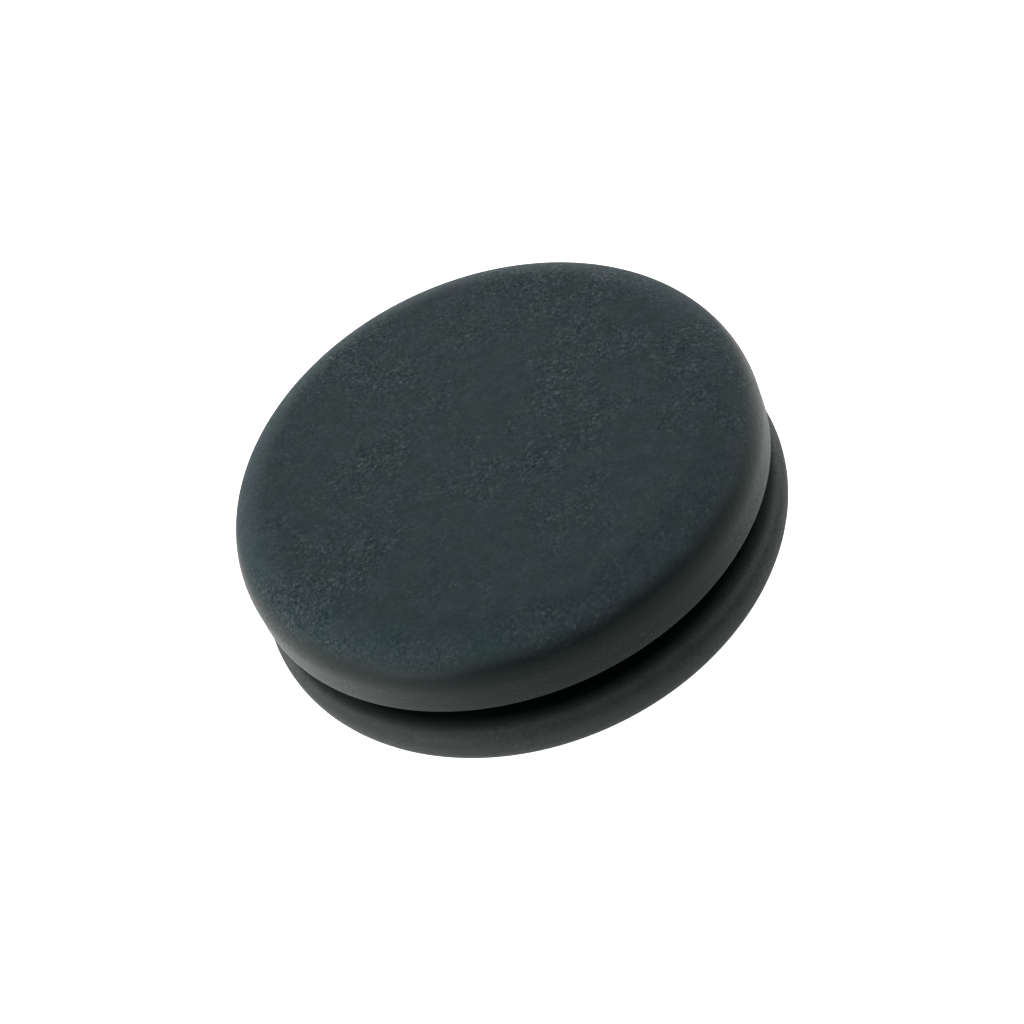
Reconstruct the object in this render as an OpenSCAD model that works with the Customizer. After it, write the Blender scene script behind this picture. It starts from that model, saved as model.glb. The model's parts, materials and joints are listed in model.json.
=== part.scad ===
// Closed rubber grommet that blanks off a round hole in a panel, moulded in one piece.
// A flat cap covers the hole, a neck fills it, and a flange behind the panel holds it there.
// The panel's edge sits in the groove between the cap and the flange. The underside has a
// blind recess, which lets the flange fold in while it is pushed through the hole.
// The axis is Z. The flange's flat ring rests on Z 0 and the cap's flat face is on top.

/* [Cap] */
// Diameter of the cap
cap_d = 25; // [23:0.1:32]
// Thickness of the cap, from its flat face down to the groove
cap_t = 3.6; // [2.6:0.1:6]
// Radius of the broad shoulder round the cap's flat face
shoulder_r = 2.3; // [0.3:0.1:3.4]
// Radius of the narrow lip where the cap's side turns under, into the groove
cap_lip_r = 0.1; // [0.05:0.05:0.5]

/* [Panel groove] */
// Diameter of the neck, which is the size of the panel's hole
neck_d = 20; // [17:0.1:22.5]
// Width of the groove, which takes the panel's thickness
groove_w = 1.8; // [0.8:0.1:4]
// Radius in the two corners at the root of the groove
groove_root_r = 0.3; // [0.1:0.05:0.8]

/* [Flange] */
// Diameter of the flange behind the panel
flange_d = 25.3; // [23:0.1:32]
// Thickness of the flange
flange_t = 2.7; // [2.65:0.05:6]
// Radius of the flange's edge on the groove side
flange_top_r = 0.8; // [0.2:0.05:0.85]
// Radius of the flange's edge on the underside
flange_bottom_r = 1.85; // [0.3:0.05:1.9]

/* [Recess] */
// Diameter of the blind recess in the underside
recess_d = 15; // [4:0.1:18]
// Thickness of the closed face that is left above the recess
membrane_t = 2; // [1:0.1:5]
// Radius in the corner at the end of the recess
recess_root_r = 1; // [0.2:0.1:2.5]
// Radius of the edge round the mouth of the recess
recess_mouth_r = 0.5; // [0.2:0.1:1.5]

/* [Hidden] */

cap_r = cap_d / 2;
neck_r = neck_d / 2;
flange_r = flange_d / 2;
recess_r = recess_d / 2;

// Heights above the surface that the flange's ring rests on
groove_z = flange_t;
cap_z = groove_z + groove_w;
top_z = cap_z + cap_t;
recess_z = top_z - membrane_t;

// How far a cutting shape runs past the surface that it cuts
overcut = 0.5;

rubber = "#39444a";
$fn = 96;

// What is cut away to round a corner at the origin whose solid lies at lower X and lower Y
module corner_waste(r) {
    translate([-r, -r])
        difference() {
            square(r + overcut);
            circle(r);
        }
}

// What fills a corner at the origin whose walls run along +X and +Y
module corner_fill(r) {
    difference() {
        square(r);
        translate([r, r]) circle(r);
    }
}

// Half section of a disc on the axis, with a round edge above and below
module disc_section(r, t, top_edge_r, bottom_edge_r) {
    difference() {
        square([r, t]);
        translate([r, t]) corner_waste(top_edge_r);
        translate([r, 0]) mirror([0, 1]) corner_waste(bottom_edge_r);
    }
}

module cap_section() {
    translate([0, cap_z])
        disc_section(cap_r, cap_t, shoulder_r, cap_lip_r);
}

module flange_section() {
    disc_section(flange_r, flange_t, flange_top_r, flange_bottom_r);
}

module neck_section() {
    translate([0, groove_z]) square([neck_r, groove_w]);
    translate([neck_r, groove_z]) corner_fill(groove_root_r);
    translate([neck_r, cap_z]) mirror([0, 1]) corner_fill(groove_root_r);
}

// Half section of the recess, with a round inner end and a mouth that flares
module recess_section() {
    difference() {
        translate([0, -overcut]) square([recess_r, recess_z + overcut]);
        translate([recess_r, recess_z]) corner_waste(recess_root_r);
    }
    translate([recess_r, 0]) corner_fill(recess_mouth_r);
}

module grommet() {
    color(rubber)
        rotate_extrude()
            difference() {
                union() {
                    cap_section();
                    neck_section();
                    flange_section();
                }
                recess_section();
            }
}

grommet();
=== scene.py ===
import json
import math

import bmesh
import bpy
from mathutils import Matrix, Vector


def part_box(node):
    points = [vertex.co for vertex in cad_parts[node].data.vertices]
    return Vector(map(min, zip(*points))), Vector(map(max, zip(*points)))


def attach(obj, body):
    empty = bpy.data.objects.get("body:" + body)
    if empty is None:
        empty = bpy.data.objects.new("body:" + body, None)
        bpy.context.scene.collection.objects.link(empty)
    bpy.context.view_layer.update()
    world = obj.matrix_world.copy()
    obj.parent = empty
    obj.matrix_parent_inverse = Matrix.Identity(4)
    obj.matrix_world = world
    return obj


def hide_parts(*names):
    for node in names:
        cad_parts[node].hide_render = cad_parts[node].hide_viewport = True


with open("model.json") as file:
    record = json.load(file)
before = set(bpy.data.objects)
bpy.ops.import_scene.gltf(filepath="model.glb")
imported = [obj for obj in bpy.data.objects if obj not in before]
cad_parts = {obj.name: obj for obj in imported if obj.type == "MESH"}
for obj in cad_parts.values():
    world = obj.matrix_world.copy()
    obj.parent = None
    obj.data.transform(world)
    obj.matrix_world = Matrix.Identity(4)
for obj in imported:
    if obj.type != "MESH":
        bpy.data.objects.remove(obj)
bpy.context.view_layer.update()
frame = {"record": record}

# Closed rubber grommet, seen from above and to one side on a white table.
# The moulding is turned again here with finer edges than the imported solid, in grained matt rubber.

MM = 0.001
FULL_TURN = 2 * math.pi

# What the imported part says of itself
_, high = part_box("grommet")
mounts = {mount["name"]: mount for mount in frame["record"]["mounts"]}
groove = mounts["panel_groove"]
neck_r = groove["dims"]["r_mm"] * MM
groove_w = groove["dims"]["length_mm"] * MM
groove_mid_z = groove["pos_m"][2]
flange_r = high.x
top_z = high.z
flange_top_z = groove_mid_z - groove_w / 2
cap_bottom_z = groove_mid_z + groove_w / 2

# The moulding's section
cap_r = 12.5 * MM
shoulder_r = 2.3 * MM
cap_lip_r = 0.1 * MM
groove_root_r = 0.3 * MM
flange_top_r = 0.8 * MM
flange_bottom_r = 1.85 * MM
recess_r = 7.5 * MM
membrane_t = 2.0 * MM
recess_root_r = 1.0 * MM
recess_mouth_r = 0.5 * MM
recess_top_z = top_z - membrane_t

# How finely the section is turned
turn_steps = 288
shoulder_steps = 20
edge_steps = 12
lip_steps = 6
face_ring_w = 0.6 * MM
weld_gap = 0.0005 * MM

# The photograph's view: the camera looks at a point measured from the middle of the cap's face,
# along the picture's own right and up
image_px = 1024
sensor_mm = 36.0
camera_elevation = math.radians(45.06)
camera_roll = math.radians(24.95)
camera_distance = 109.72 * MM
camera_focal_px = 2446.6
aim_right = 1.436 * MM
aim_up = -3.314 * MM
clip_near = 1 * MM
clip_far = 10.0

# The rubber: its colour carries painted light, paler and bluer on the cap's matt face and paler still on
# its shoulder.
# The side and the flange are darker and smoother, the side with painted shade, but for the flange's
# upper edge, which is painted paler as painted light. The groove is darkest, with painted shade.
lit_face_from_z = 6.6 * MM
lit_face_full_z = 7.6 * MM
shoulder_painted_light = (1.42, 1.32, 1.30)
shoulder_light_from_r = 9.9 * MM
shoulder_light_full_r = 11.2 * MM
lit_edge_from_z = 1.3 * MM
lit_edge_full_z = 2.2 * MM
lit_edge_end_z = 2.35 * MM
lit_edge_left = 0.3
groove_shade_from_r = 12.0 * MM
groove_shade_full_r = 11.4 * MM
wander_size = 3.0 * MM
wander_height = 0.3 * MM
lit_face_green = (0.0248, 0.0458, 0.0484)
lit_face_blue = (0.0286, 0.0440, 0.0531)
shaded_side_colour = (0.002, 0.005, 0.0045)
flange_colour = (0.014, 0.019, 0.019)
lit_edge_colour = (0.028, 0.032, 0.032)
face_roughness = 0.8
side_roughness = 0.34
flange_roughness = 0.5
rubber_specular = 0.375
specular_tint = (0.80, 1.0, 0.96)

# Its grain, which is stronger in some patches than in others, its clouding and its pale specks.
# The dark and the pale grain multiply the rubber's colour. Most of a noise's values lie between
# its low and its high.
noise_low = 0.3
noise_high = 0.7
hue_size = 1.3 * MM
hue_green = 0.35
hue_blue = 0.65
patch_size = 5.0 * MM
patch_shift = (-25 * MM, 41 * MM, 0.0)
patch_smooth = 0.40
patch_rough = 0.66
cloud_size = 0.9 * MM
cloud_contrast = 0.30
grain_size = 0.16 * MM
grain_least = 0.2
grain_most = 0.95
side_grain = 0.6
dark_grain = (0.34, 0.52, 0.55)
pale_grain = (1.66, 1.48, 1.45)
grain_polish = 0.25
grain_depth = 0.008 * MM
speck_size = 0.16 * MM
speck_edge = 0.60
speck_core = 0.74
speck_cover = 0.65
side_specks = 0.1
speck_colour = (0.10, 0.13, 0.13)
speck_relief = 0.5

# The studio: softboxes round the back and the sides and high in front
light_distance = 0.6
softboxes = {
    # Azimuth, elevation, size, power
    "high_front_softbox": (0, 62, 0.32, 0.30),
    "high_right_softbox": (60, 62, 0.32, 0.17),
    "high_left_softbox": (300, 62, 0.32, 0.31),
    "right_softbox": (90, 35, 0.32, 0.80),
    "left_softbox": (270, 35, 0.32, 0.88),
    "right_back_softbox": (120, 12, 0.26, 0.59),
    "back_softbox": (180, 12, 0.26, 1.73),
    "left_back_softbox": (240, 12, 0.26, 0.85),
    "left_front_softbox": (300, 12, 0.26, 0.73),
}
table_r = 1.5
table_steps = 96
table_white = (0.86, 0.86, 0.86)
table_roughness = 0.9
table_glow_front = 0.1
table_glow_back = 0.56
table_front_y = -22 * MM
table_back_y = -2 * MM
table_skew = 0.3
table_glow_seen = 0.9


def turned_moulding():
    """The grommet as one closed mesh: its section with rounded corners, spun once round the axis."""
    # Each corner of the section: radius, height, rounding, steps in the rounding
    corners = [
        (0.0, top_z, 0.0, 0),
        (cap_r, top_z, shoulder_r, shoulder_steps),
        (cap_r, cap_bottom_z, cap_lip_r, lip_steps),
        (neck_r, cap_bottom_z, groove_root_r, lip_steps),
        (neck_r, flange_top_z, groove_root_r, lip_steps),
        (flange_r, flange_top_z, flange_top_r, edge_steps),
        (flange_r, 0.0, flange_bottom_r, edge_steps),
        (recess_r, 0.0, recess_mouth_r, edge_steps),
        (recess_r, recess_top_z, recess_root_r, edge_steps),
        (0.0, recess_top_z, 0.0, 0),
    ]
    bm = bmesh.new()
    verts = [bm.verts.new((radius, 0.0, height)) for radius, height, _, _ in corners]
    for first, second in zip(verts, verts[1:]):
        bm.edges.new((first, second))
    for vert, (_, _, rounding, steps) in zip(verts, corners):
        if steps:
            bmesh.ops.bevel(bm, geom=[vert], offset=rounding, offset_type="OFFSET", affect="VERTICES",
                            segments=steps, profile=0.5, material=-1, clamp_overlap=False)
    for edge in list(bm.edges):
        cuts = int(edge.calc_length() / face_ring_w)
        if cuts:
            bmesh.ops.subdivide_edges(bm, edges=[edge], cuts=cuts)
    bmesh.ops.spin(bm, geom=bm.verts[:] + bm.edges[:], cent=(0, 0, 0), axis=(0, 0, 1),
                   angle=FULL_TURN, steps=turn_steps, use_merge=True)
    bmesh.ops.remove_doubles(bm, verts=bm.verts, dist=weld_gap)
    bmesh.ops.recalc_face_normals(bm, faces=bm.faces)
    for face in bm.faces:
        face.smooth = True
    mesh = bpy.data.meshes.new("grommet_moulding")
    bm.to_mesh(mesh)
    bm.free()
    return mesh


def new_object(name, data):
    thing = bpy.data.objects.new(name, data)
    bpy.context.scene.collection.objects.link(thing)
    return thing


def add_node(tree, kind, **values):
    """A shader node with its properties, and its sockets by name, set to the given values."""
    made = tree.nodes.new(kind)
    for name, value in values.items():
        if hasattr(made, name):
            setattr(made, name, value)
        else:
            made.inputs[name.replace("_", " ")].default_value = value
    return made


def band(tree, value, start, full, low=0.0, high=1.0):
    """A smooth step from low to high as the value goes from start to full."""
    step = add_node(tree, "ShaderNodeMapRange", interpolation_type="SMOOTHSTEP", From_Min=start,
                    From_Max=full, To_Min=low, To_Max=high)
    tree.links.new(value, step.inputs["Value"])
    return step.outputs["Result"]


def noise(tree, place, size, detail, roughness):
    """Cloudy noise, from 0 to 1, whose clouds are about the given size across."""
    clouds = add_node(tree, "ShaderNodeTexNoise", Scale=1 / size, Detail=detail, Roughness=roughness)
    tree.links.new(place, clouds.inputs["Vector"])
    return clouds.outputs["Fac"]


def swing(tree, clouds):
    """The noise spread out, so that it swings from about -0.5 to 0.5."""
    return band(tree, clouds, noise_low, noise_high, -0.5, 0.5)


def combine(tree, operation, first, second):
    """A Math node on two values, each a socket or a number."""
    math_node = add_node(tree, "ShaderNodeMath", operation=operation)
    for socket, value in zip(math_node.inputs, (first, second)):
        if isinstance(value, bpy.types.NodeSocket):
            tree.links.new(value, socket)
        else:
            socket.default_value = value
    return math_node.outputs["Value"]


def blend_colours(tree, mask, first, second, blend_type="MIX"):
    """A Mix node from the first colour to the second, each a socket or an RGB colour."""
    mix = add_node(tree, "ShaderNodeMix", data_type="RGBA", blend_type=blend_type)
    sockets = {socket.identifier: socket for socket in mix.inputs}
    for name, value in (("Factor_Float", mask), ("A_Color", first), ("B_Color", second)):
        if isinstance(value, bpy.types.NodeSocket):
            tree.links.new(value, sockets[name])
        elif name == "Factor_Float":
            sockets[name].default_value = value
        else:
            sockets[name].default_value = (*value, 1)
    return next(socket for socket in mix.outputs if socket.identifier == "Result_Color")


def moulded_rubber():
    """Matt blue-grey black rubber with a fine grain and pale specks, its open face painted paler and
    bluer with painted light and its side darker with painted shade.
    """
    material = bpy.data.materials.new("moulded_rubber")
    material.use_nodes = True
    tree = material.node_tree
    shader = tree.nodes["Principled BSDF"]
    shader.inputs["Specular IOR Level"].default_value = rubber_specular
    shader.inputs["Specular Tint"].default_value = (*specular_tint, 1)

    place = add_node(tree, "ShaderNodeTexCoord").outputs["Object"]
    split = add_node(tree, "ShaderNodeSeparateXYZ")
    tree.links.new(place, split.inputs["Vector"])

    # Heights wander a little, so that no layer ends on a drawn line
    wander = noise(tree, place, wander_size, detail=2, roughness=0.5)
    drift = combine(tree, "MULTIPLY", combine(tree, "SUBTRACT", wander, 0.5), wander_height)
    height = combine(tree, "ADD", split.outputs["Z"], drift)
    # Painted light: above this height the cap's face takes its paler, bluer colour
    lit_face = band(tree, height, lit_face_from_z, lit_face_full_z)
    x_squared = combine(tree, "MULTIPLY", split.outputs["X"], split.outputs["X"])
    y_squared = combine(tree, "MULTIPLY", split.outputs["Y"], split.outputs["Y"])
    radius_squared = combine(tree, "ADD", x_squared, y_squared)
    radius = combine(tree, "SQRT", radius_squared, 0)
    outside = band(tree, radius, recess_r + recess_mouth_r, neck_r)

    # Painted shade: the groove is painted as dark as the cap's side, out to the flange's upper edge
    above_edge = band(tree, height, lit_edge_from_z, lit_edge_full_z)
    in_groove = combine(tree, "MULTIPLY", above_edge, band(tree, radius, groove_shade_from_r, groove_shade_full_r))
    side = combine(tree, "MAXIMUM", in_groove, band(tree, height, flange_top_z, cap_bottom_z))
    side = combine(tree, "MULTIPLY", side, outside)

    # Painted light: the flange's upper edge is painted paler where light falls on it, fading into the
    # groove; the side's painted shade lies over the flange, and the face's colour over the side
    fading = band(tree, height, lit_edge_end_z, flange_top_z, 1.0, lit_edge_left)
    edge = combine(tree, "MULTIPLY", above_edge, fading)
    below_face = blend_colours(tree, edge, flange_colour, lit_edge_colour)
    # Painted shade: the cap's side and the groove take the near-black shaded colour
    below_face = blend_colours(tree, side, below_face, shaded_side_colour)
    hue = band(tree, noise(tree, place, hue_size, detail=3, roughness=0.6), hue_green, hue_blue)
    # The face's colour is the rubber's own colour, made paler and bluer with painted light from above
    lit_face_colour = blend_colours(tree, hue, lit_face_green, lit_face_blue)
    colour = blend_colours(tree, lit_face, below_face, lit_face_colour)
    # Painted light: the shoulder's outer ring is painted paler still, so it keeps the face's brightness
    # as it turns away
    outward = band(tree, combine(tree, "SUBTRACT", radius, drift), shoulder_light_from_r, shoulder_light_full_r)
    shoulder_light = blend_colours(tree, outward, (1, 1, 1), shoulder_painted_light)
    colour = blend_colours(tree, 1.0, colour, shoulder_light, "MULTIPLY")

    # Broad patches set where the grain is strong
    shifted = add_node(tree, "ShaderNodeMapping", Location=patch_shift)
    tree.links.new(place, shifted.inputs["Vector"])
    patches = noise(tree, shifted.outputs["Vector"], patch_size, detail=5, roughness=0.65)
    grain_strength = band(tree, patches, patch_smooth, patch_rough, grain_least, grain_most)
    cells = swing(tree, noise(tree, place, grain_size, detail=2, roughness=0.9))
    grain = combine(tree, "MULTIPLY", cells, grain_strength)
    clouds = swing(tree, noise(tree, place, cloud_size, detail=3, roughness=0.8))
    specks = band(tree, noise(tree, place, speck_size, detail=1, roughness=0.5), speck_edge, speck_core)
    specks = combine(tree, "MULTIPLY", specks, grain_strength)

    # They tint the face in full and the side and the flange less
    tint_strength = band(tree, lit_face, 0, 1, side_grain, 1.0)
    tone = combine(tree, "ADD", grain, combine(tree, "MULTIPLY", clouds, cloud_contrast))
    tone = combine(tree, "MULTIPLY", tone, tint_strength)
    tint = blend_colours(tree, combine(tree, "ADD", tone, 0.5), dark_grain, pale_grain)
    colour = blend_colours(tree, 1.0, colour, tint, "MULTIPLY")
    most_cover = band(tree, lit_face, 0, 1, side_specks * speck_cover, speck_cover)
    cover = combine(tree, "MULTIPLY", specks, most_cover)
    colour = blend_colours(tree, cover, colour, speck_colour)
    tree.links.new(colour, shader.inputs["Base Color"])

    # The cap's face is matt, the side and the groove are smoothest, and the crests of the grain are
    # a little polished
    rough = band(tree, side, 0, 1, flange_roughness, side_roughness)
    dulled = combine(tree, "MULTIPLY", lit_face, combine(tree, "SUBTRACT", face_roughness, rough))
    rough = combine(tree, "ADD", rough, dulled)
    rough = combine(tree, "SUBTRACT", rough, combine(tree, "MULTIPLY", grain, grain_polish))
    tree.links.new(rough, shader.inputs["Roughness"])

    relief = combine(tree, "ADD", grain, combine(tree, "MULTIPLY", specks, speck_relief))
    bump = add_node(tree, "ShaderNodeBump", Strength=1.0, Distance=grain_depth)
    tree.links.new(relief, bump.inputs["Height"])
    tree.links.new(bump.outputs["Normal"], shader.inputs["Normal"])
    return material


def grommet():
    moulding = new_object("moulded_grommet", turned_moulding())
    moulding.data.materials.append(moulded_rubber())
    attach(moulding, "root")
    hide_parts("grommet")


def photo_camera():
    right = Vector((1, 0, 0))
    up = Vector((0, math.sin(camera_elevation), math.cos(camera_elevation)))
    back = Vector((0, -math.cos(camera_elevation), math.sin(camera_elevation)))
    turn = Matrix.Rotation(-camera_roll, 3, back)
    picture_right = turn @ right
    picture_up = turn @ up
    aim = Vector((0, 0, top_z)) + aim_right * picture_right + aim_up * picture_up
    data = bpy.data.cameras.new("photo_camera")
    data.sensor_width = sensor_mm
    data.lens = camera_focal_px * sensor_mm / image_px
    data.clip_start = clip_near
    data.clip_end = clip_far
    camera = new_object("photo_camera", data)
    facing = Matrix((picture_right, picture_up, back)).transposed()
    camera.matrix_world = Matrix.Translation(aim + camera_distance * back) @ facing.to_4x4()
    bpy.context.scene.camera = camera


def table():
    bm = bmesh.new()
    bmesh.ops.create_circle(bm, cap_ends=True, segments=table_steps, radius=table_r)
    mesh = bpy.data.meshes.new("table_top")
    bm.to_mesh(mesh)
    bm.free()
    top = new_object("table_top", mesh)
    material = bpy.data.materials.new("table_white")
    material.use_nodes = True
    tree = material.node_tree
    shader = tree.nodes["Principled BSDF"]
    shader.inputs["Base Color"].default_value = (*table_white, 1)
    shader.inputs["Roughness"].default_value = table_roughness
    shader.inputs["Emission Color"].default_value = (1, 1, 1, 1)
    # The table glows like a light table, less in front than behind, and more to the camera than
    # to the rubber. The line between front and behind runs a little askew.
    split = add_node(tree, "ShaderNodeSeparateXYZ")
    tree.links.new(add_node(tree, "ShaderNodeTexCoord").outputs["Object"], split.inputs["Vector"])
    behind = combine(tree, "SUBTRACT", split.outputs["Y"],
                     combine(tree, "MULTIPLY", split.outputs["X"], table_skew))
    glow = band(tree, behind, table_front_y, table_back_y, table_glow_front, table_glow_back)
    seen = add_node(tree, "ShaderNodeLightPath").outputs["Is Camera Ray"]
    glow = combine(tree, "ADD", combine(tree, "MULTIPLY", seen, table_glow_seen), glow)
    tree.links.new(glow, shader.inputs["Emission Strength"])
    mesh.materials.append(material)


def soft_light(name, azimuth, elevation, size, power):
    """A square softbox that faces the grommet. Azimuth 0 is behind the camera and 180 is opposite it."""
    a = math.radians(azimuth)
    e = math.radians(elevation)
    away = Vector((math.sin(a) * math.cos(e), -math.cos(a) * math.cos(e), math.sin(e)))
    data = bpy.data.lights.new(name, "AREA")
    data.shape = "SQUARE"
    data.size = size
    data.energy = power
    light = new_object(name, data)
    light.visible_camera = False
    light.location = light_distance * away
    light.rotation_mode = "QUATERNION"
    light.rotation_quaternion = away.to_track_quat("Z", "Y")


def studio():
    for name, (azimuth, elevation, size, power) in softboxes.items():
        soft_light(name, azimuth, elevation, size, power)
    world = bpy.data.worlds.new("studio_air")
    bpy.context.scene.world = world
    world.use_nodes = True
    # The room behind the table looks white but adds no light of its own
    seen = add_node(world.node_tree, "ShaderNodeLightPath").outputs["Is Camera Ray"]
    world.node_tree.links.new(seen, world.node_tree.nodes["Background"].inputs["Strength"])
    world.node_tree.nodes["Background"].inputs["Color"].default_value = (1, 1, 1, 1)
    bpy.context.scene.view_settings.view_transform = "Standard"


photo_camera()
grommet()
table()
studio()
